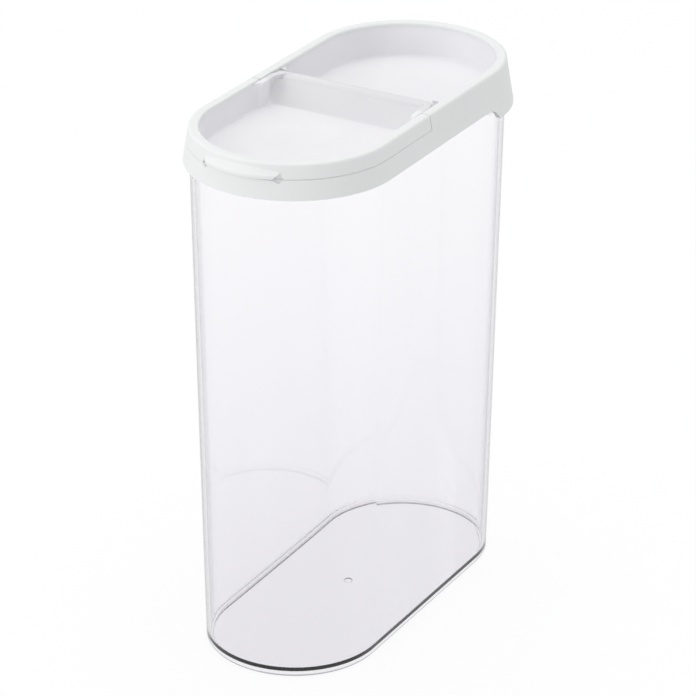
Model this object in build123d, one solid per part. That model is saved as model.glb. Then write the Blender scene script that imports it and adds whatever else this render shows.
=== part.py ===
from build123d import *
import os
from math import cos, radians, sin, tan

# Cereal container with a flip spout: a clear tub with a stadium plan, a lid that presses on, and a flap
# over the lid's front half. Millimetres. The origin is in the middle of the foot, +Z is up, the flap
# is at -Y and the deep grip of the lid at +Y.

# ---- plan ----
HALF_STRAIGHT = 43.0  # from the middle to the centre of each rounded end

# ---- container ----
BASE_RADIUS = 35.63  # outer radius that the drafted wall would have at the ground
WALL_DRAFT = 1.03  # degrees, the wall opens upwards
CONTAINER_HEIGHT = 209.85
CONTAINER_WALL = 1.7
FLOOR_THICKNESS = 1.8
FOOT_RECESS = 2.05  # the underside stands this high inside the foot ring
FOOT_LAND = 0.5  # width of the flat ring that it rests on
FOOT_LEAN = 0.1  # that the foot ring's inner side leans in
FOOT_FILLET = 1.8
RECESS_FILLET = 0.4
FLOOR_FILLET = 0.6
LIP_FILLET = 0.5
GATE_RADIUS = 1.8
GATE_DEPTH = 0.6

# ---- mouth gasket ----
GASKET_HEIGHT = 1.0
GASKET_WIDTH = 1.4

# ---- lid base ----
FLANGE_THICKNESS = 1.55
FLANGE_INSET = 0.2  # the flange stops this short of the skirt's inner face
PLUG_CLEARANCE = 0.4
PLUG_WALL = 1.0
PLUG_DEPTH = 6.2
LID_WALL = 1.2
PAN_TOP_INSET = 0.7  # both pans' walls at the top, inside the plug wall
REAR_PAN_DEPTH = 13.6
REAR_PAN_DRAFT = 6.0  # degrees
REAR_PAN_FLOOR = 1.3
REAR_PAN_CORNER = 4.0
REAR_WALL_DROP = 3.8  # the rear pan's front wall stops this far below the lid's top
REAR_WALL_SLOPE = 1.6  # that its top rises over its thickness, clear of the open flap
SHELF_THICKNESS = 1.3
SPOUT_INSET = 4.0  # the pour opening's edge, inside the plug wall
SPOUT_CORNER = 6.0
BAY_INSET = 0.4  # the hinge bay's side walls, inside the plug wall
BOSS_DEPTH = 2.8
BOSS_HALF = 2.9
BOSS_COVER = 0.8  # of material above the pin and beyond its end
END_COVER = 0.8  # soft rim over the ends of the lid base's upright wall

# ---- soft rim of the lid and the flap ----
SKIRT_CLEARANCE = 0.3
BAND_WALL = 0.75  # at the top edge of the band
BAND_HEIGHT = 7.75
BAND_BEVEL = 0.35  # along the band's top outer edge, under the flap
SKIRT_FLARE = 9.2  # degrees
SKIRT_OPEN = 0.8  # that the inner side opens out at the deep grip's edge
LOBE_DROP = 4.8  # the grip at the back end reaches this much lower
LOBE_START = 36.5
LOBE_RUN = 6.0
RIM_HEIGHT = 5.65  # from the flap rim's underside to the top
RIM_SKIN = 1.2  # soft skin over the frosted wall's top edge
RIM_OUTER_FILLET = 1.0
RIM_INNER_FILLET = 0.6

# ---- flap ----
FLAP_GAP = 0.2  # parting between the flap's rim and the band
SPLIT_Y = -9.4  # where the flap's rim ends and the rear rim begins
SPLIT_GAP = 0.4
FLAP_WALL = 1.0
FLAP_FLOOR = 1.0
FLAP_PAN_DEPTH = 10.2
FLAP_PAN_DRAFT = 9.6  # degrees
FLAP_PAN_BACK = -6.3
FLAP_PAN_CORNER = 6.0
FLAP_BACK_WALL = 1.7  # along Y, behind the ramp
PAN_FILLET = 1.0
FLAP_FLANGE = 1.2
FLAP_FLANGE_RISE = 1.15  # above the flap rim's underside
FLAP_FLANGE_REACH = 1.8
TAIL_CLEARANCE = 0.6  # each side of the flap's tail, in the hinge bay
TAIL_CORNER = 6.5
TAIL_WALL = 2.5
FLAP_SEAL_GAP = 0.1
SEAL_WIDTH = 2.0
SEAL_MARGIN = 0.3

# ---- hinge ----
AXIS_Y = 3.0
AXIS_DROP = 3.0  # below the lid's top
BARREL_RADIUS = 2.6
BARREL_CLEARANCE = 0.3
RAMP_MEET = 15.0  # degrees round the barrel from level, where the ramp meets it
PIN_RADIUS = 1.2
PIN_CLEARANCE = 0.05
PIN_LENGTH = 10.0
PIN_END_GAP = 0.2

# ---- thumb tab ----
TAB_TOP_HALF = 16.0  # half width where it leaves the rim's side
TAB_LOW_HALF = 14.0  # half width at its lower edge
TAB_CORNER = 1.4
TAB_REACH = 2.1  # beyond the flap rim's side, at the tip
TAB_SHIFT = 11.0  # its edge is an arc round a centre this far in front of the rim's
TAB_TOP_INSET = 2.2
TAB_ROOT = 0.4  # further in, merged with the rim
TAB_LIP = 1.5
RELIEF_ANGLE = 20.0  # degrees each side of the front tip
RELIEF_DEPTH = 0.35  # into the band, under the tab
NOTCH_DEPTH = 0.6  # inwards, of the notch at each end of the tab
NOTCH_REACH = 1.3  # beyond the tab's side
NOTCH_RISE = 2.4  # into the flap's rim
NOTCH_DROP = 1.6  # into the band

# ---- heights ----
flange_z = CONTAINER_HEIGHT + GASKET_HEIGHT
flange_top = flange_z + FLANGE_THICKNESS
band_top = flange_top
flap_rim_z = band_top + FLAP_GAP
lid_top = flap_rim_z + RIM_HEIGHT
wall_top = lid_top - RIM_SKIN
skirt_z = band_top - BAND_HEIGHT
lobe_z = skirt_z - LOBE_DROP
plug_z = flange_z - PLUG_DEPTH
shelf_top = plug_z + SHELF_THICKNESS
rear_floor_z = lid_top - REAR_PAN_DEPTH
flap_floor_z = lid_top - FLAP_PAN_DEPTH
flap_underside = flap_floor_z - FLAP_FLOOR
seal_top = flap_underside - FLAP_SEAL_GAP
axis_z = lid_top - AXIS_DROP
tail_top = axis_z + BARREL_RADIUS
meet_z = axis_z + BARREL_RADIUS * sin(radians(RAMP_MEET))
meet_y = AXIS_Y - BARREL_RADIUS * cos(radians(RAMP_MEET))


# ---- radii ----
def container_radius(z):
    """Outer radius of the container's drafted wall at height z."""
    return BASE_RADIUS + z * tan(radians(WALL_DRAFT))


mouth_radius = container_radius(CONTAINER_HEIGHT)
skirt_inner = mouth_radius + SKIRT_CLEARANCE
flange_radius = skirt_inner - FLANGE_INSET
plug_outer = container_radius(plug_z) - CONTAINER_WALL - PLUG_CLEARANCE
well_radius = plug_outer - PLUG_WALL
pan_radius = well_radius - PAN_TOP_INSET
bay_half = well_radius - BAY_INSET


def skirt_radius(z):
    """Outer radius of the soft rim's flared side at height z."""
    return skirt_inner + BAND_WALL + (band_top - z) * tan(radians(SKIRT_FLARE))


def rear_pan_radius(z):
    """Inner radius of the rear pan's drafted wall at height z."""
    return pan_radius - (wall_top - z) * tan(radians(REAR_PAN_DRAFT))


def flap_pan_radius(z):
    """Inner radius of the flap's drafted wall at height z."""
    return pan_radius - (wall_top - z) * tan(radians(FLAP_PAN_DRAFT))


tail_half = bay_half - TAIL_CLEARANCE
bay_back = AXIS_Y + BARREL_RADIUS + BARREL_CLEARANCE
rear_rim_front = SPLIT_Y + SPLIT_GAP / 2
flap_rim_back = SPLIT_Y - SPLIT_GAP / 2
pin_end = bay_half + BOSS_DEPTH - BOSS_COVER - PIN_END_GAP
pin_start = pin_end - PIN_LENGTH
front_centre = Vector(0, -HALF_STRAIGHT, 0)
FAR = 300.0  # larger than the whole part, for cutting boxes


# ---- building blocks ----
def outline(*points):
    """A face in the XZ plane from (radius, height) points."""
    return make_face(Polyline(*[(r, 0, z) for r, z in points], close=True))


def around(section):
    """Carries a section along both straight sides and round both ends of the stadium plan."""
    start = Pos(0, HALF_STRAIGHT, 0) * section
    side = extrude(start, amount=2 * HALF_STRAIGHT, dir=(0, -1, 0))
    end = revolve(start, Axis((0, HALF_STRAIGHT, 0), (0, 0, 1)), 180)
    return side + mirror(side, about=Plane.YZ) + end + mirror(end, about=Plane.XZ)


def ring(inner, outer, low, high):
    """A plain stadium ring."""
    return around(outline((inner, low), (outer, low), (outer, high), (inner, high)))


def slab(low_y, high_y, low_z, high_z, half_x=FAR):
    """A box across the lid between two Y planes and two heights."""
    box = Box(2 * half_x, high_y - low_y, high_z - low_z, align=(Align.CENTER, Align.MIN, Align.MIN))
    return Pos(0, low_y, low_z) * box


def d_plan(radius, back, corner, z):
    """A flat D at height z: round at the front end, straight across at back with rounded corners."""
    tip = (0, -HALF_STRAIGHT - radius)
    left = (-radius, -HALF_STRAIGHT)
    right = (radius, -HALF_STRAIGHT)
    bend = corner * (1 - 0.5**0.5)
    edges = [
        ThreePointArc(left, tip, right),
        Line(right, (radius, back - corner)),
        ThreePointArc((radius, back - corner), (radius - bend, back - bend), (radius - corner, back)),
        Line((radius - corner, back), (corner - radius, back)),
        ThreePointArc((corner - radius, back), (bend - radius, back - bend), (-radius, back - corner)),
        Line((-radius, back - corner), left),
    ]
    return Pos(0, 0, z) * make_face(edges)


def d_block(low, high):
    """A solid between two D plans, each given as (radius, back, corner, z)."""
    return loft([d_plan(*low), d_plan(*high)], ruled=True)


def turned(shape):
    """The same shape at the other end of the part."""
    return Rot(0, 0, 180) * shape


# ---- pieces ----
def make_container():
    """The clear tub."""
    top = CONTAINER_HEIGHT
    floor = FOOT_RECESS + FLOOR_THICKNESS
    foot = container_radius(FOOT_FILLET) - FOOT_FILLET
    land = foot - FOOT_LAND
    tangent = (container_radius(FOOT_FILLET), FOOT_FILLET)
    bend = FOOT_FILLET * (1 - 0.5**0.5)
    corner = (foot + FOOT_FILLET - bend, bend)
    shell = make_face(
        [
            Line((0, 0, 0), (foot, 0, 0)),
            ThreePointArc((foot, 0, 0), (corner[0], 0, corner[1]), (tangent[0], 0, tangent[1])),
            Line((tangent[0], 0, tangent[1]), (mouth_radius, 0, top)),
            Line((mouth_radius, 0, top), (0, 0, top)),
            Line((0, 0, top), (0, 0, 0)),
        ]
    )
    low_inner = container_radius(floor) - CONTAINER_WALL
    high_inner = container_radius(top) - CONTAINER_WALL
    hollow = outline((0, floor), (low_inner, floor), (high_inner, top), (0, top))
    corner_vertex = hollow.vertices().sort_by_distance((low_inner, 0, floor))[0]
    hollow = fillet(corner_vertex, FLOOR_FILLET)
    recess = outline((0, 0), (land, 0), (land - FOOT_LEAN, FOOT_RECESS), (0, FOOT_RECESS))
    recess_vertex = recess.vertices().sort_by_distance((land - FOOT_LEAN, 0, FOOT_RECESS))[0]
    recess = fillet(recess_vertex, RECESS_FILLET)
    body = around(shell) - around(hollow) - around(recess)
    lip = body.faces().sort_by(Axis.Z)[-1].edges()
    body = fillet(lip, LIP_FILLET)
    gate = Cylinder(GATE_RADIUS, GATE_DEPTH, align=(Align.CENTER, Align.CENTER, Align.MIN))
    return body - Pos(0, 0, FOOT_RECESS) * gate


def make_mouth_gasket():
    """Flat soft ring on the container's lip."""
    middle = mouth_radius - CONTAINER_WALL / 2
    return ring(middle - GASKET_WIDTH / 2, middle + GASKET_WIDTH / 2, CONTAINER_HEIGHT, flange_z)


def rear_cavity():
    """The open space of the rear pan, up through the lid's top."""
    high = lid_top + 1
    front = -(bay_back + LID_WALL)
    cavity = d_block(
        (rear_pan_radius(rear_floor_z), front, REAR_PAN_CORNER, rear_floor_z),
        (rear_pan_radius(high), front, REAR_PAN_CORNER, high),
    )
    floor_edges = cavity.faces().sort_by(Axis.Z)[0].edges()
    return turned(fillet(floor_edges, PAN_FILLET))


def over_rear_wall(low):
    """The open space over the sloped top of the rear pan's front wall."""
    back = bay_back + LID_WALL
    high = low + REAR_WALL_SLOPE
    corners = [(bay_back, low), (back, high), (back, lid_top), (bay_back, lid_top)]
    side = make_face(Polyline(*[(0, y, z) for y, z in corners], close=True))
    return extrude(side, amount=bay_half, dir=(1, 0, 0), both=True)


def hinge_boss(side):
    """Block outside the hinge bay's wall that holds a pin's end."""
    height = axis_z + PIN_RADIUS + BOSS_COVER - flange_z
    block = Box(BOSS_DEPTH, 2 * BOSS_HALF, height, align=(Align.MIN, Align.CENTER, Align.MIN))
    boss = Pos(bay_half, AXIS_Y, flange_z) * block
    return boss if side > 0 else mirror(boss, about=Plane.YZ)


def pin_bar(side, radius, start, end):
    """A round bar on the hinge axis between two distances from the middle."""
    bar = Cylinder(radius, end - start, align=(Align.CENTER, Align.CENTER, Align.MIN))
    return Pos(side * start, AXIS_Y, axis_z) * Rot(0, side * 90, 0) * bar


def boss_hole(side):
    """The hole in a boss in which a pin turns."""
    return pin_bar(side, PIN_RADIUS + PIN_CLEARANCE, bay_half - 1, bay_half + BOSS_DEPTH - BOSS_COVER)


def make_lid_base():
    """The frosted frame of the lid."""
    flange = ring(well_radius, flange_radius, flange_z, flange_top)
    plug = ring(well_radius, plug_outer, plug_z, flange_z)
    upright = ring(bay_half, well_radius + LID_WALL, flange_top, wall_top)
    upright -= slab(-FAR, rear_rim_front + END_COVER, flange_top, lid_top)
    disc = around(outline((0, plug_z), (well_radius, plug_z), (well_radius, shelf_top), (0, shelf_top)))
    shelf = disc - slab(bay_back + LID_WALL, FAR, plug_z, shelf_top)
    spout_radius = well_radius - SPOUT_INSET
    spout_back = FLAP_PAN_BACK - SEAL_WIDTH - SEAL_MARGIN
    spout = d_block(
        (spout_radius, spout_back, SPOUT_CORNER, plug_z - 1),
        (spout_radius, spout_back, SPOUT_CORNER, shelf_top + 1),
    )
    tub_floor = rear_floor_z - REAR_PAN_FLOOR
    tub = turned(
        d_block(
            (rear_pan_radius(tub_floor) + LID_WALL, -bay_back, LID_WALL, tub_floor),
            (rear_pan_radius(wall_top) + LID_WALL, -bay_back, LID_WALL, wall_top),
        )
    )
    low = lid_top - REAR_WALL_DROP
    bay = slab(-FAR, bay_back, low, lid_top, bay_half) + over_rear_wall(low)
    base = flange + plug + upright + (shelf - spout) + tub
    base = base - rear_cavity() - bay
    for side in (-1, 1):
        base += hinge_boss(side)
    return base - boss_hole(-1) - boss_hole(1)


def front_sector(low_angle, high_angle, inner, outer, low, high):
    """A block round the front tip, between two angles, two radii and two heights."""
    section = outline((inner, low), (outer, low), (outer, high), (inner, high))
    block = revolve(section, Axis.Z, high_angle - low_angle)
    return Pos(front_centre) * Rot(0, 0, low_angle - 90) * block


def tab_relief():
    """The shallow hollow in the band under the thumb tab."""
    inner = skirt_radius(flap_rim_z) - NOTCH_DEPTH
    outer = skirt_radius(band_top) + 2 * BAND_WALL
    return front_sector(-RELIEF_ANGLE, RELIEF_ANGLE, inner, outer, band_top - RELIEF_DEPTH, flap_rim_z)


def end_notches():
    """The pointed notch in both rims at each end of the thumb tab."""
    inner = skirt_radius(flap_rim_z) - NOTCH_DEPTH
    outer = skirt_radius(band_top) + 2 * BAND_WALL
    low = band_top - NOTCH_DROP
    high = flap_rim_z + NOTCH_RISE
    notch = make_face(
        Polyline(
            (TAB_LOW_HALF - TAB_CORNER, 0, flap_rim_z),
            (TAB_TOP_HALF, 0, high),
            (TAB_TOP_HALF + NOTCH_REACH, 0, band_top),
            ((TAB_LOW_HALF + TAB_TOP_HALF + NOTCH_REACH) / 2, 0, low),
            close=True,
        )
    )
    notch = extrude(notch, amount=FAR, dir=(0, -1, 0))
    room = front_sector(-2 * RELIEF_ANGLE, 2 * RELIEF_ANGLE, inner, outer, low, high)
    return room & (notch + mirror(notch, about=Plane.YZ))


def band_bevel():
    """The bevel along the band's top outer edge, where the flap's rim lies over it."""
    side = skirt_radius(band_top)
    high = band_top + BAND_BEVEL
    edge = side + BAND_BEVEL
    cut = outline((side - 2 * BAND_BEVEL, high), (edge, band_top - 2 * BAND_BEVEL), (edge, high))
    return around(cut) & slab(-FAR, rear_rim_front, 0, FAR)


def rim_section(low):
    """Section of the soft rim from height low to the top."""
    side = lid_top - RIM_OUTER_FILLET
    brow = (skirt_radius(side) - 0.2, lid_top)
    section = outline(
        (pan_radius, low),
        (skirt_radius(low), low),
        (skirt_radius(side), side),
        brow,
        (pan_radius, lid_top),
    )
    outer = section.vertices().sort_by_distance((brow[0], 0, brow[1]))[0]
    section = fillet(outer, RIM_OUTER_FILLET)
    inner = section.vertices().sort_by_distance((pan_radius, 0, lid_top))[0]
    return fillet(inner, RIM_INNER_FILLET)


def make_lid_rim(base):
    """The white soft moulding of the lid: rear rim, front band and the deep grip at the back."""
    full = around(rim_section(lobe_z))
    open_radius = skirt_inner + SKIRT_OPEN
    mouth = [(0, lobe_z), (open_radius, lobe_z), (skirt_inner, flange_z), (flange_radius, flange_z)]
    inside = around(outline(*mouth, (flange_radius, flange_top), (0, flange_top)))
    flap_room = slab(-FAR, rear_rim_front, band_top, lid_top + 1)
    bay = slab(-FAR, bay_back + LID_WALL, band_top, wall_top, bay_half)
    step_end = LOBE_START + LOBE_RUN
    step_middle = (0, LOBE_START + 0.7 * LOBE_RUN, skirt_z - 0.5 * LOBE_DROP)
    under = make_face(
        [
            Line((0, -FAR, lobe_z - 1), (0, -FAR, skirt_z)),
            Line((0, -FAR, skirt_z), (0, LOBE_START, skirt_z)),
            ThreePointArc((0, LOBE_START, skirt_z), step_middle, (0, step_end, lobe_z)),
            Line((0, step_end, lobe_z), (0, step_end, lobe_z - 1)),
            Line((0, step_end, lobe_z - 1), (0, -FAR, lobe_z - 1)),
        ]
    )
    under = extrude(under, amount=FAR / 2, dir=(1, 0, 0), both=True)
    rim = full - inside - flap_room - bay - under - base
    rim -= band_bevel() + tab_relief() + end_notches()
    return rim - boss_hole(-1) - boss_hole(1)


def make_spout_gasket():
    """D-shaped soft ring on the shelf, round the pour opening."""
    reach = well_radius - SPOUT_INSET + SEAL_MARGIN
    outer = (reach + SEAL_WIDTH, FLAP_PAN_BACK, SPOUT_CORNER + SEAL_WIDTH)
    inner = (reach, FLAP_PAN_BACK - SEAL_WIDTH, SPOUT_CORNER)
    solid = d_block((*outer, shelf_top), (*outer, seal_top))
    return solid - d_block((*inner, shelf_top - 1), (*inner, seal_top + 1))


def ramp_y(z):
    """Where the flap pan's rear ramp is at height z, on its upper face."""
    return FLAP_PAN_BACK + (z - flap_floor_z) * (meet_y - FLAP_PAN_BACK) / (meet_z - flap_floor_z)


def hinge_barrel():
    """The bar across the lid on which the flap turns."""
    return pin_bar(1, BARREL_RADIUS, -tail_half, tail_half)


def flap_cavity():
    """The open space of the flap's pan: wide in front, narrower between the tail's side walls."""
    high = lid_top + 1
    front_back = flap_rim_back - FLAP_WALL
    wide = d_block(
        (flap_pan_radius(flap_floor_z), front_back, FLAP_PAN_CORNER, flap_floor_z),
        (flap_pan_radius(high), front_back, FLAP_PAN_CORNER, high),
    )
    half = tail_half - TAIL_WALL
    corner = TAIL_CORNER - TAIL_WALL
    narrow = d_block((half, ramp_y(flap_floor_z), corner, flap_floor_z), (half, meet_y, corner, meet_z))
    crest_corner = corner + AXIS_Y - meet_y
    crest = d_block((half, AXIS_Y, crest_corner, meet_z), (half, AXIS_Y, crest_corner, high))
    cavity = wide + narrow + (crest - hinge_barrel())
    return fillet(cavity.faces().sort_by(Axis.Z)[0].edges(), PAN_FILLET)


def flap_shell():
    """The flap's outside before its pan is hollowed."""
    back_low = ramp_y(flap_underside) + FLAP_BACK_WALL
    wide = d_block(
        (flap_pan_radius(flap_underside) + FLAP_WALL, flap_rim_back, FLAP_PAN_CORNER, flap_underside),
        (flap_pan_radius(wall_top) + FLAP_WALL, flap_rim_back, FLAP_PAN_CORNER, wall_top),
    )
    narrow = d_block(
        (tail_half, back_low, TAIL_CORNER, flap_underside),
        (tail_half, ramp_y(tail_top) + FLAP_BACK_WALL, TAIL_CORNER, tail_top),
    )
    tail = (tail_half, AXIS_Y + BARREL_RADIUS, TAIL_CORNER)
    keep = d_block((*tail, flap_underside - 1), (*tail, lid_top))
    return wide + ((narrow + hinge_barrel()) & keep)


def make_flap_panel():
    """The frosted flap: drafted pan, rear ramp and the hinge barrel."""
    flange_low = flap_rim_z + FLAP_FLANGE_RISE
    reach = flap_pan_radius(flange_low) + FLAP_WALL + FLAP_FLANGE_REACH
    flange = ring(pan_radius - FLAP_WALL, reach, flange_low, flange_low + FLAP_FLANGE)
    flange -= slab(flap_rim_back - END_COVER, FAR, 0, FAR)
    panel = flap_shell() + flange - flap_cavity()
    for side in (-1, 1):
        panel -= pin_bar(side, PIN_RADIUS, pin_start, FAR / 4)
    return panel


def make_tab():
    """The thumb tab at the front tip, with its lower corners drawn in."""
    side = skirt_radius(flap_rim_z) - TAB_SHIFT
    edge = side + TAB_REACH
    inner = side - TAB_TOP_INSET - TAB_ROOT
    section = outline(
        (inner, flap_rim_z),
        (edge - 0.5, flap_rim_z),
        (edge, flap_rim_z + 0.5),
        (edge, flap_rim_z + TAB_LIP),
        (side - TAB_TOP_INSET, lid_top - 0.1),
        (inner, lid_top - 0.1),
    )
    tip = section.vertices().sort_by_distance((edge, 0, flap_rim_z + TAB_LIP))[0]
    section = fillet(tip, 0.9)
    tab = Pos(front_centre) * Pos(0, -TAB_SHIFT, 0) * Rot(0, 0, -180) * revolve(section, Axis.Z, 180)
    shoulder = flap_rim_z + NOTCH_RISE
    front = make_face(
        Polyline(
            (-TAB_LOW_HALF, 0, flap_rim_z),
            (TAB_LOW_HALF, 0, flap_rim_z),
            (TAB_TOP_HALF, 0, shoulder),
            (TAB_TOP_HALF, 0, lid_top),
            (-TAB_TOP_HALF, 0, lid_top),
            (-TAB_TOP_HALF, 0, shoulder),
            close=True,
        )
    )
    front = fillet(front.vertices().sort_by(Axis.Z)[:2], TAB_CORNER)
    front = extrude(front, amount=FAR, dir=(0, -1, 0))
    return tab & front


def make_flap_rim(panel):
    """The white soft moulding of the flap, with the thumb tab."""
    block = around(rim_section(flap_rim_z))
    block -= slab(flap_rim_back, FAR, 0, FAR)
    block -= end_notches()
    rim = block + make_tab()
    return rim - panel - flap_cavity()


def make_pin(side):
    """A short pin, fixed in the barrel's end and turning in the boss."""
    return pin_bar(side, PIN_RADIUS, pin_start, pin_end)


def main():
    """Builds each piece and writes it."""
    os.makedirs("parts", exist_ok=True)
    lid_base = make_lid_base()
    flap_panel = make_flap_panel()
    pieces = {
        "container": make_container(),
        "lid_base": lid_base,
        "lid_rim": make_lid_rim(lid_base),
        "mouth_gasket": make_mouth_gasket(),
        "spout_gasket": make_spout_gasket(),
        "flap_panel": flap_panel,
        "flap_rim": make_flap_rim(flap_panel),
        "hinge_pin_left": make_pin(-1),
        "hinge_pin_right": make_pin(1),
    }
    for name, piece in pieces.items():
        export_step(piece, f"parts/{name}.step")


main()
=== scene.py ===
import math

import bmesh
import bpy
from mathutils import Matrix, Vector


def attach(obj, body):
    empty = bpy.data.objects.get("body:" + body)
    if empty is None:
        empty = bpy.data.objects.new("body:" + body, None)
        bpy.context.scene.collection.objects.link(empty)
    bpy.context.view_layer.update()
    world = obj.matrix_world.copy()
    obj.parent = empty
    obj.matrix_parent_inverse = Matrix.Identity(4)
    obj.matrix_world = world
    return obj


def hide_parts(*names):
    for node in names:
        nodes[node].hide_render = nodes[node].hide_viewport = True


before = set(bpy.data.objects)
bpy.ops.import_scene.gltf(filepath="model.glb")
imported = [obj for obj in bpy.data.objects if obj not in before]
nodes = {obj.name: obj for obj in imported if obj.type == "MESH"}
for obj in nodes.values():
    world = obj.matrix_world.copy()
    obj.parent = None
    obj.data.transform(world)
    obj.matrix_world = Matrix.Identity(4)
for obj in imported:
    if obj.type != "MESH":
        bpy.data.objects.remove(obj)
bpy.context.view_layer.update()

scene = bpy.context.scene
scene.view_settings.view_transform = "Standard"

# Metres. The origin is in the middle of the foot, +Z is up, the flap is at -Y and the deep grip at +Y.


# ----------------------------------------------------------- sizes of the tub

HALF_STRAIGHT = 0.043   # from the middle to the centre of each rounded end
BASE_RADIUS = 0.03563   # outer radius that the drafted wall would have at the ground
DRAFT = math.radians(1.03)
TUB_HEIGHT = 0.20985
TUB_WALL = 0.0017
FLOOR_TOP = 0.00385
UNDERSIDE = 0.00205     # of the floor, inside the foot ring
FOOT_LAND = 0.0005      # width of the flat ring that it rests on
FOOT_LEAN = 0.0001      # that the foot ring's inner side leans in
FOOT_FILLET = 0.0018
RECESS_FILLET = 0.0004
FLOOR_FILLET = 0.0006
LIP_FILLET = 0.0005
GATE_RADIUS = 0.0018
GATE_TOP = 0.00265      # of the hollow under the gate mark
FINE = 0.0001           # the radius that a sharp moulded edge really has
END_STEPS = 72          # round each end
SAME_PLACE = 1e-7       # points nearer than this are one


# ---------------------------------------------------------------- node helpers

MIX_FACTOR, MIX_FIRST, MIX_SECOND, MIX_COLOUR = 0, 6, 7, 2     # a Mix node's sockets for colours


class Tree:
    """A short way to write a node tree: add a node, wire its inputs, get its output."""

    def __init__(self, tree):
        self.tree = tree
        tree.nodes.clear()

    def add(self, kind, values=None, **settings):
        node = self.tree.nodes.new(kind)
        for name, value in settings.items():
            setattr(node, name, value)
        for key, value in (values or {}).items():
            self.put(node.inputs[key], value)
        return node

    def put(self, socket, value):
        if isinstance(value, bpy.types.NodeSocket):
            self.tree.links.new(value, socket)
        else:
            socket.default_value = value

    def math(self, operation, a, b=None, clamp=False):
        node = self.add("ShaderNodeMath", operation=operation, use_clamp=clamp)
        self.put(node.inputs[0], a)
        if b is not None:
            self.put(node.inputs[1], b)
        return node.outputs[0]

    def mix_shader(self, fac, first, second):
        node = self.add("ShaderNodeMixShader")
        self.put(node.inputs[0], fac)
        self.put(node.inputs[1], first)
        self.put(node.inputs[2], second)
        return node.outputs[0]

    def noise(self, where, scale, detail=3.0, rough=0.5):
        node = self.add("ShaderNodeTexNoise", {"Vector": where, "Scale": scale, "Detail": detail,
                                               "Roughness": rough})
        return node.outputs["Fac"]

    def ramp(self, fac, stops):
        node = self.add("ShaderNodeValToRGB", {"Fac": fac})
        elements = node.color_ramp.elements
        while len(elements) < len(stops):
            elements.new(0.5)
        for element, (place, shade) in zip(elements, stops):
            element.position = place
            element.color = (*shade, 1.0)
        return node.outputs["Color"]

    def bump(self, height, strength, distance):
        node = self.add("ShaderNodeBump", {"Height": height, "Strength": strength, "Distance": distance})
        return node.outputs["Normal"]

    def place(self):
        """Where a point lies on its piece."""
        return self.add("ShaderNodeTexCoord").outputs["Object"]

    def between(self, value, low, high, at_low=0.0, at_high=1.0):
        """Runs from at_low to at_high while the value runs from low to high."""
        node = self.add("ShaderNodeMapRange", {"Value": value, "From Min": low, "From Max": high,
                                               "To Min": at_low, "To Max": at_high})
        return node.outputs["Result"]

    def multiply(self, share, first, second):
        """The first colour times the second, as far as the share says."""
        node = self.add("ShaderNodeMix", data_type="RGBA", blend_type="MULTIPLY")
        self.put(node.inputs[MIX_FACTOR], share)
        self.put(node.inputs[MIX_FIRST], first)
        self.put(node.inputs[MIX_SECOND], second)
        return node.outputs[MIX_COLOUR]


def linear(value):
    """The linear value of a screen value between 0 and 1."""
    return value / 12.92 if value <= 0.04045 else ((value + 0.055) / 1.055) ** 2.4


def colour(r, g, b):
    return (linear(r), linear(g), linear(b))


def material(name):
    made = bpy.data.materials.new(name)
    made.use_nodes = True
    return made, Tree(made.node_tree)


def dress(name, made):
    """Gives one CAD node its material."""
    slots = nodes[name].material_slots
    for slot in slots:
        slot.material = made
    if not slots:
        nodes[name].data.materials.append(made)


# ------------------------------------------------------------------- materials

TINT_AND_SHADE_TOP = 0.21                     # height up to which the tub's colour runs from painted shade at the floor to pale at the top
# Painted shade: a darker grey ring on the outer side of the foot's lowest edge, where the tub stands on the
# floor.
FOOT_SHADE_OUT_FROM = (0.0337, 0.0340)    # the ring of painted shade on the foot begins this far from the middle line
FOOT_SHADE_UP_TO = (0.0011, 0.0017)       # and ends at this height
FOOT_SHADE_TINT = (0.22, 0.22, 0.26, 1.0)


def foot_edge_painted_shade(t, part):
    """1 on the outer side of the foot's lowest edge, where a ring of painted shade darkens the tub."""
    past_straight = t.math("MAXIMUM", t.math("SUBTRACT", t.math("ABSOLUTE", part["Y"]), HALF_STRAIGHT), 0.0)
    spread = t.add("ShaderNodeCombineXYZ", {"X": part["X"], "Y": past_straight}).outputs[0]
    radius = t.add("ShaderNodeVectorMath", {0: spread}, operation="LENGTH").outputs["Value"]
    outer = t.between(radius, *FOOT_SHADE_OUT_FROM)
    low = t.between(part["Z"], *FOOT_SHADE_UP_TO, 1.0, 0.0)
    outside = t.math("SUBTRACT", 1.0, t.add("ShaderNodeNewGeometry").outputs["Backfacing"])
    return t.math("MULTIPLY", t.math("MULTIPLY", outer, low), outside)


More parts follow.
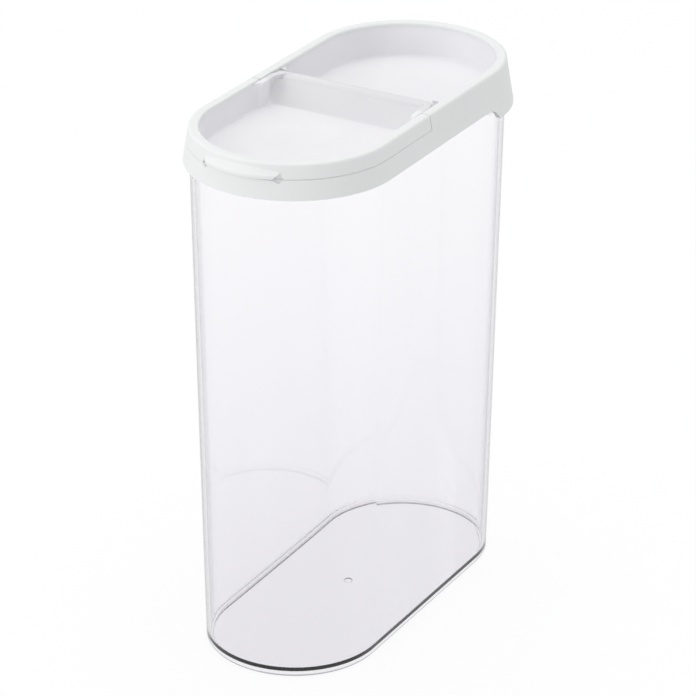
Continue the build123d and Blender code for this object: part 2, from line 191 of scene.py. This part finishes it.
def clear_plastic():
    """Clear moulded styrene: tinted in its depth, faintly wavy, with painted shade low down and on the
    foot's outer edge, and darker edge-on as a painted reflection.
    """
    made, t = material("clear_styrene")
    place = t.place()
    part = t.add("ShaderNodeSeparateXYZ", {"Vector": place}).outputs
    # Tinted faintly lavender, with painted shade: darker towards the floor, paler towards the top.
    level = t.math("DIVIDE", part["Z"], TINT_AND_SHADE_TOP, clamp=True)
    tint_and_painted_shade = t.ramp(level, [(0.0, colour(0.960, 0.956, 0.966)), (0.5, colour(0.982, 0.980, 0.988)),
                          (1.0, colour(0.999, 0.996, 1.0))])
    # Painted reflection of dark surroundings: the colour darkens where the tub is seen edge-on.
    facing = t.add("ShaderNodeLayerWeight", {"Blend": 0.5}).outputs["Facing"]
    edge = t.ramp(facing, [(0.38, (1.0, 1.0, 1.0)), (0.60, (0.965, 0.965, 0.972)),
                           (0.70, (0.89, 0.89, 0.91)), (0.79, (0.66, 0.66, 0.69)),
                           (0.88, (0.25, 0.25, 0.28))])
    # The base colour: tinted, with the painted shade low down, the painted reflection edge-on and the
    # painted ring on the foot.
    base = t.multiply(foot_edge_painted_shade(t, part), t.multiply(1.0, tint_and_painted_shade, edge), FOOT_SHADE_TINT)
    wave = t.noise(place, 14.0, 1.0, 0.4)
    scuff = t.noise(place, 900.0, 4.0, 0.65)
    glass = t.add("ShaderNodeBsdfPrincipled", {
        "Base Color": base, "Roughness": t.between(scuff, 0.35, 0.75, 0.012, 0.035), "IOR": 1.57,
        "Transmission Weight": 1.0, "Normal": t.bump(wave, 0.05, 0.0004)})
    shadow = t.add("ShaderNodeBsdfTransparent", {"Color": (0.93, 0.93, 0.95, 1.0)})
    path = t.add("ShaderNodeLightPath").outputs
    shader = t.mix_shader(path["Is Shadow Ray"], glass.outputs[0], shadow.outputs[0])
    depth = t.add("ShaderNodeVolumeAbsorption", {"Color": (0.55, 0.54, 0.62, 1.0), "Density": 11.0})
    t.add("ShaderNodeOutputMaterial", {"Surface": shader, "Volume": depth.outputs[0]})
    return made


BAY_FRONT = (-0.0078, -0.0058)      # along Y, where painted shade begins on the flap's ramp, over the dark hinge bay
RAMP_PAINTED_SHADE = 0.13                   # share of its colour that the painted shade takes from the ramp there
BLACK = (0.0, 0.0, 0.0, 1.0)


def frosted_plastic(name, ramp_painted_shade):
    """Frosted polypropylene: milky, with a fine blasted grain, and painted shade where its ramp covers the
    bay.
    """
    made, t = material(name)
    place = t.place()
    cloud = t.noise(place, 26.0, 3.0, 0.55)
    base = t.ramp(cloud, [(0.30, colour(0.925, 0.922, 0.932)), (0.70, colour(0.950, 0.947, 0.955))])
    along = t.add("ShaderNodeSeparateXYZ", {"Vector": place}).outputs["Y"]
    bay_painted_shade = t.between(along, *BAY_FRONT, 0.0, ramp_painted_shade)
    grain = t.noise(place, 2600.0, 3.0, 0.6)
    body = t.add("ShaderNodeBsdfPrincipled", {
        "Base Color": t.multiply(bay_painted_shade, base, BLACK),
        "Roughness": t.between(grain, 0.3, 0.7, 0.42, 0.56), "IOR": 1.49, "Specular IOR Level": 0.4,
        "Subsurface Weight": 0.35, "Subsurface Radius": (1.0, 0.95, 0.9), "Subsurface Scale": 0.002,
        "Normal": t.bump(grain, 0.25, 0.00006)})
    t.add("ShaderNodeOutputMaterial", {"Surface": body.outputs[0]})
    return made


def soft_white():
    """Satin white elastomer: even, slightly warm, with a fine matt skin."""
    made, t = material("soft_elastomer")
    place = t.place()
    cloud = t.noise(place, 14.0, 2.0, 0.5)
    base = t.ramp(cloud, [(0.30, colour(0.925, 0.930, 0.928)), (0.70, colour(0.942, 0.946, 0.944))])
    skin = t.noise(place, 1500.0, 4.0, 0.6)
    body = t.add("ShaderNodeBsdfPrincipled", {
        "Base Color": base, "Roughness": t.between(skin, 0.3, 0.7, 0.48, 0.62), "IOR": 1.48,
        "Specular IOR Level": 0.4, "Sheen Weight": 0.05, "Sheen Roughness": 0.5, "Subsurface Weight": 0.12,
        "Subsurface Radius": (1.0, 1.0, 0.95), "Subsurface Scale": 0.001,
        "Normal": t.bump(skin, 0.20, 0.00008)})
    t.add("ShaderNodeOutputMaterial", {"Surface": body.outputs[0]})
    return made


def gasket_silicone():
    """Pale silicone of the two sealing rings, with faint moulding marks."""
    made, t = material("seal_silicone")
    place = t.place()
    cloud = t.noise(place, 60.0, 3.0, 0.5)
    base = t.ramp(cloud, [(0.3, colour(0.86, 0.87, 0.88)), (0.7, colour(0.90, 0.905, 0.915))])
    skin = t.noise(place, 1200.0, 3.0, 0.6)
    body = t.add("ShaderNodeBsdfPrincipled", {
        "Base Color": base, "Roughness": 0.42, "IOR": 1.41, "Subsurface Weight": 0.3,
        "Subsurface Radius": (1.0, 1.0, 1.0), "Subsurface Scale": 0.001,
        "Normal": t.bump(skin, 0.2, 0.00006)})
    t.add("ShaderNodeOutputMaterial", {"Surface": body.outputs[0]})
    return made


def pin_plastic():
    """Smooth acetal of the hinge pins, with fine turning lines across their length."""
    made, t = material("pin_acetal")
    place = t.place()
    lines = t.add("ShaderNodeTexWave", {"Vector": place, "Scale": 700.0, "Distortion": 0.4},
                  wave_type="BANDS", bands_direction="X").outputs["Fac"]
    base = t.ramp(lines, [(0.2, colour(0.90, 0.90, 0.905)), (0.8, colour(0.93, 0.93, 0.935))])
    body = t.add("ShaderNodeBsdfPrincipled", {
        "Base Color": base, "Roughness": 0.28, "IOR": 1.48, "Normal": t.bump(lines, 0.08, 0.00003)})
    t.add("ShaderNodeOutputMaterial", {"Surface": body.outputs[0]})
    return made


# -------------------------------------------------------------- the tub's mesh

def wall_radius(z):
    return BASE_RADIUS + z * math.tan(DRAFT)


def bend(r, z, radius, start, stop, steps, side=1.0, straight=1.0):
    """Points of an arc in the section: radius, height, both parts of the normal, share of the straight."""
    points = []
    for k in range(steps + 1):
        a = start + (stop - start) * k / steps
        c, s = math.cos(a), math.sin(a)
        points.append((r + radius * c, z + radius * s, side * c, side * s, straight))
    return points


def tub_section():
    """The tub's section, from the middle of its floor up the inside, over the lip and down to the gate."""
    half, slope = math.pi / 2, 1.0 / math.cos(DRAFT)
    z = FLOOR_TOP + FLOOR_FILLET
    points = bend(wall_radius(z) - TUB_WALL - FLOOR_FILLET * slope, z, FLOOR_FILLET, -half, -DRAFT, 6, -1.0)
    z = TUB_HEIGHT - LIP_FILLET
    inner = wall_radius(z) - TUB_WALL + LIP_FILLET * slope
    points += bend(inner, z, LIP_FILLET, math.pi - DRAFT, half, 5)
    points += bend(wall_radius(z) - LIP_FILLET * slope, z, LIP_FILLET, half, -DRAFT, 5)
    foot = wall_radius(FOOT_FILLET) - FOOT_FILLET
    points += bend(foot, FOOT_FILLET, FOOT_FILLET, -DRAFT, -half, 10)
    lean = math.atan(FOOT_LEAN / UNDERSIDE)
    land = foot - FOOT_LAND
    corner = land - FINE * math.tan(lean) + FINE / math.cos(lean)
    points += bend(corner, FINE, FINE, -half, lean - math.pi, 4)
    z = UNDERSIDE - RECESS_FILLET
    recess = land - z * math.tan(lean) - RECESS_FILLET / math.cos(lean)
    points += bend(recess, z, RECESS_FILLET, lean, half, 5, -1.0)
    points += bend(GATE_RADIUS + FINE, UNDERSIDE + FINE, FINE, -half, -math.pi, 3, 1.0, 0.0)
    points += bend(GATE_RADIUS - FINE, GATE_TOP - FINE, FINE, 0.0, half, 3, -1.0, 0.0)
    return points


def stations():
    """Directions round the stadium plan, with the end whose centre each one starts from."""
    steps = range(END_STEPS + 1)
    return [(end, math.pi * (k / END_STEPS + (end < 0))) for end in (1.0, -1.0) for k in steps]


def make_tub(made):
    """The tub, its round ends finer than the solid's facets, so that no line shows beside them."""
    bm = bmesh.new()
    kept = bm.verts.layers.float_vector.new("kept_normal")
    rings = []
    for r, z, nr, nz, straight in tub_section():
        ring = []
        for end, a in stations():
            c, s = math.cos(a), math.sin(a)
            vert = bm.verts.new((r * c, end * straight * HALF_STRAIGHT + r * s, z))
            vert[kept] = (nr * c, nr * s, nz)
            ring.append(vert)
        rings.append(ring)
    count = len(rings[0])
    for low, high in zip(rings, rings[1:]):
        for k in range(count):
            n = (k + 1) % count
            bm.faces.new((low[k], high[k], high[n], low[n]))
    bm.faces.new(rings[0])
    bm.faces.new(reversed(rings[-1]))
    bmesh.ops.remove_doubles(bm, verts=bm.verts, dist=SAME_PLACE)
    for face in bm.faces:
        face.smooth = True
    mesh = bpy.data.meshes.new("tub_fine")
    bm.to_mesh(mesh)
    bm.free()
    normals = [Vector(item.vector) for item in mesh.attributes["kept_normal"].data]
    mesh.attributes.remove(mesh.attributes["kept_normal"])
    mesh.normals_split_custom_set_from_vertices(normals)
    tub = bpy.data.objects.new("tub_fine", mesh)
    scene.collection.objects.link(tub)
    mesh.materials.append(made)
    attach(tub, "tub")
    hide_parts("container")


clear = clear_plastic()
white = soft_white()
seal = gasket_silicone()
pin = pin_plastic()
dress("container", clear)
dress("lid_base", frosted_plastic("frosted_lid", 0.0))
dress("flap_panel", frosted_plastic("frosted_flap", RAMP_PAINTED_SHADE))
for name, made in (("lid_rim", white), ("flap_rim", white), ("mouth_gasket", seal), ("spout_gasket", seal),
                   ("hinge_pin_left", pin), ("hinge_pin_right", pin)):
    dress(name, made)
make_tub(clear)


# ------------------------------------------------------- floor, world and lamps

FLOOR_SIZE = 8.0
FLOOR_SHOWN = 0.88      # share of plain white in what is seen of the floor; the rest is its lit paint
FLOOR_WHITE = 1.02      # makes up for the paint, which is a little darker than white
AMBIENT = 0.72          # light of the studio's walls on the object


def white_rays(t):
    """1 for what the camera sees, straight or through gloss and glass."""
    path = t.add("ShaderNodeLightPath").outputs
    either = t.math("MAXIMUM", path["Is Camera Ray"], path["Is Glossy Ray"])
    return t.math("MAXIMUM", either, path["Is Transmission Ray"])


def make_floor():
    bpy.ops.mesh.primitive_plane_add(size=FLOOR_SIZE, location=(0.0, 0.0, 0.0))
    floor = bpy.context.object
    floor.name = "studio_floor"
    made, t = material("studio_floor")
    paint = t.add("ShaderNodeBsdfDiffuse", {"Color": (0.90, 0.90, 0.90, 1.0)})
    shown = t.add("ShaderNodeEmission", {"Color": (1.0, 1.0, 1.0, 1.0), "Strength": FLOOR_WHITE})
    share = t.math("MULTIPLY", white_rays(t), FLOOR_SHOWN)
    surface = t.mix_shader(share, paint.outputs[0], shown.outputs[0])
    t.add("ShaderNodeOutputMaterial", {"Surface": surface})
    floor.data.materials.append(made)


def make_world():
    world = bpy.data.worlds.new("studio")
    scene.world = world
    world.use_nodes = True
    t = Tree(world.node_tree)
    room = t.add("ShaderNodeBackground", {"Color": (0.985, 0.99, 1.0, 1.0), "Strength": AMBIENT})
    plain = t.add("ShaderNodeBackground", {"Color": (1.0, 1.0, 1.0, 1.0), "Strength": 1.0})
    surface = t.mix_shader(white_rays(t), room.outputs[0], plain.outputs[0])
    t.add("ShaderNodeOutputWorld", {"Surface": surface})


def soft_lamp(name, place, aim, side, power):
    """A square soft box that looks at a point of the object."""
    data = bpy.data.lights.new(name, "AREA")
    data.shape = "RECTANGLE"
    data.size = side
    data.size_y = side
    data.energy = power
    lamp = bpy.data.objects.new(name, data)
    scene.collection.objects.link(lamp)
    lamp.location = place
    lamp.rotation_euler = (Vector(aim) - Vector(place)).to_track_quat("-Z", "Y").to_euler()


make_floor()
make_world()
soft_lamp("front_left", place=(-0.9, -1.35, 0.9), aim=(0.0, 0.0, 0.12), side=1.0, power=7.0)
soft_lamp("overhead", place=(-0.1, 0.2, 1.6), aim=(0.0, 0.0, 0.20), side=1.2, power=5.2)


# ---------------------------------------------------------------------- camera

AZIMUTH = 0.5224257     # radians round from the front, towards +X
ELEVATION = 0.4438287   # radians above level
ROLL = 0.003426         # radians
DISTANCE = 1.392052
AIM_ACROSS = -0.000783  # to the right of the tub's middle
AIM_HEIGHT = 0.107845
FOCAL_PIXELS = 3511.92
FRAME_PIXELS = 696.0
HALF_PIXEL = 0.5
SENSOR = 36.0           # mm


def make_camera():
    across = Vector((math.cos(AZIMUTH), math.sin(AZIMUTH), 0.0))
    away = Vector((-math.sin(AZIMUTH) * math.cos(ELEVATION), math.cos(AZIMUTH) * math.cos(ELEVATION),
                   -math.sin(ELEVATION)))
    up = across.cross(away)
    right = math.cos(ROLL) * across + math.sin(ROLL) * up
    top = math.cos(ROLL) * up - math.sin(ROLL) * across
    data = bpy.data.cameras.new("photo_camera")
    data.sensor_fit = "HORIZONTAL"
    data.sensor_width = SENSOR
    data.lens = SENSOR * FOCAL_PIXELS / FRAME_PIXELS
    data.shift_x = -HALF_PIXEL / FRAME_PIXELS
    data.shift_y = HALF_PIXEL / FRAME_PIXELS
    data.clip_start = 0.05
    data.clip_end = 30.0
    camera = bpy.data.objects.new("photo_camera", data)
    scene.collection.objects.link(camera)
    aim = AIM_ACROSS * across + Vector((0.0, 0.0, AIM_HEIGHT))
    turn = Matrix((right, top, -away)).transposed().to_4x4()
    camera.matrix_world = Matrix.Translation(aim - DISTANCE * away) @ turn
    scene.camera = camera


make_camera()
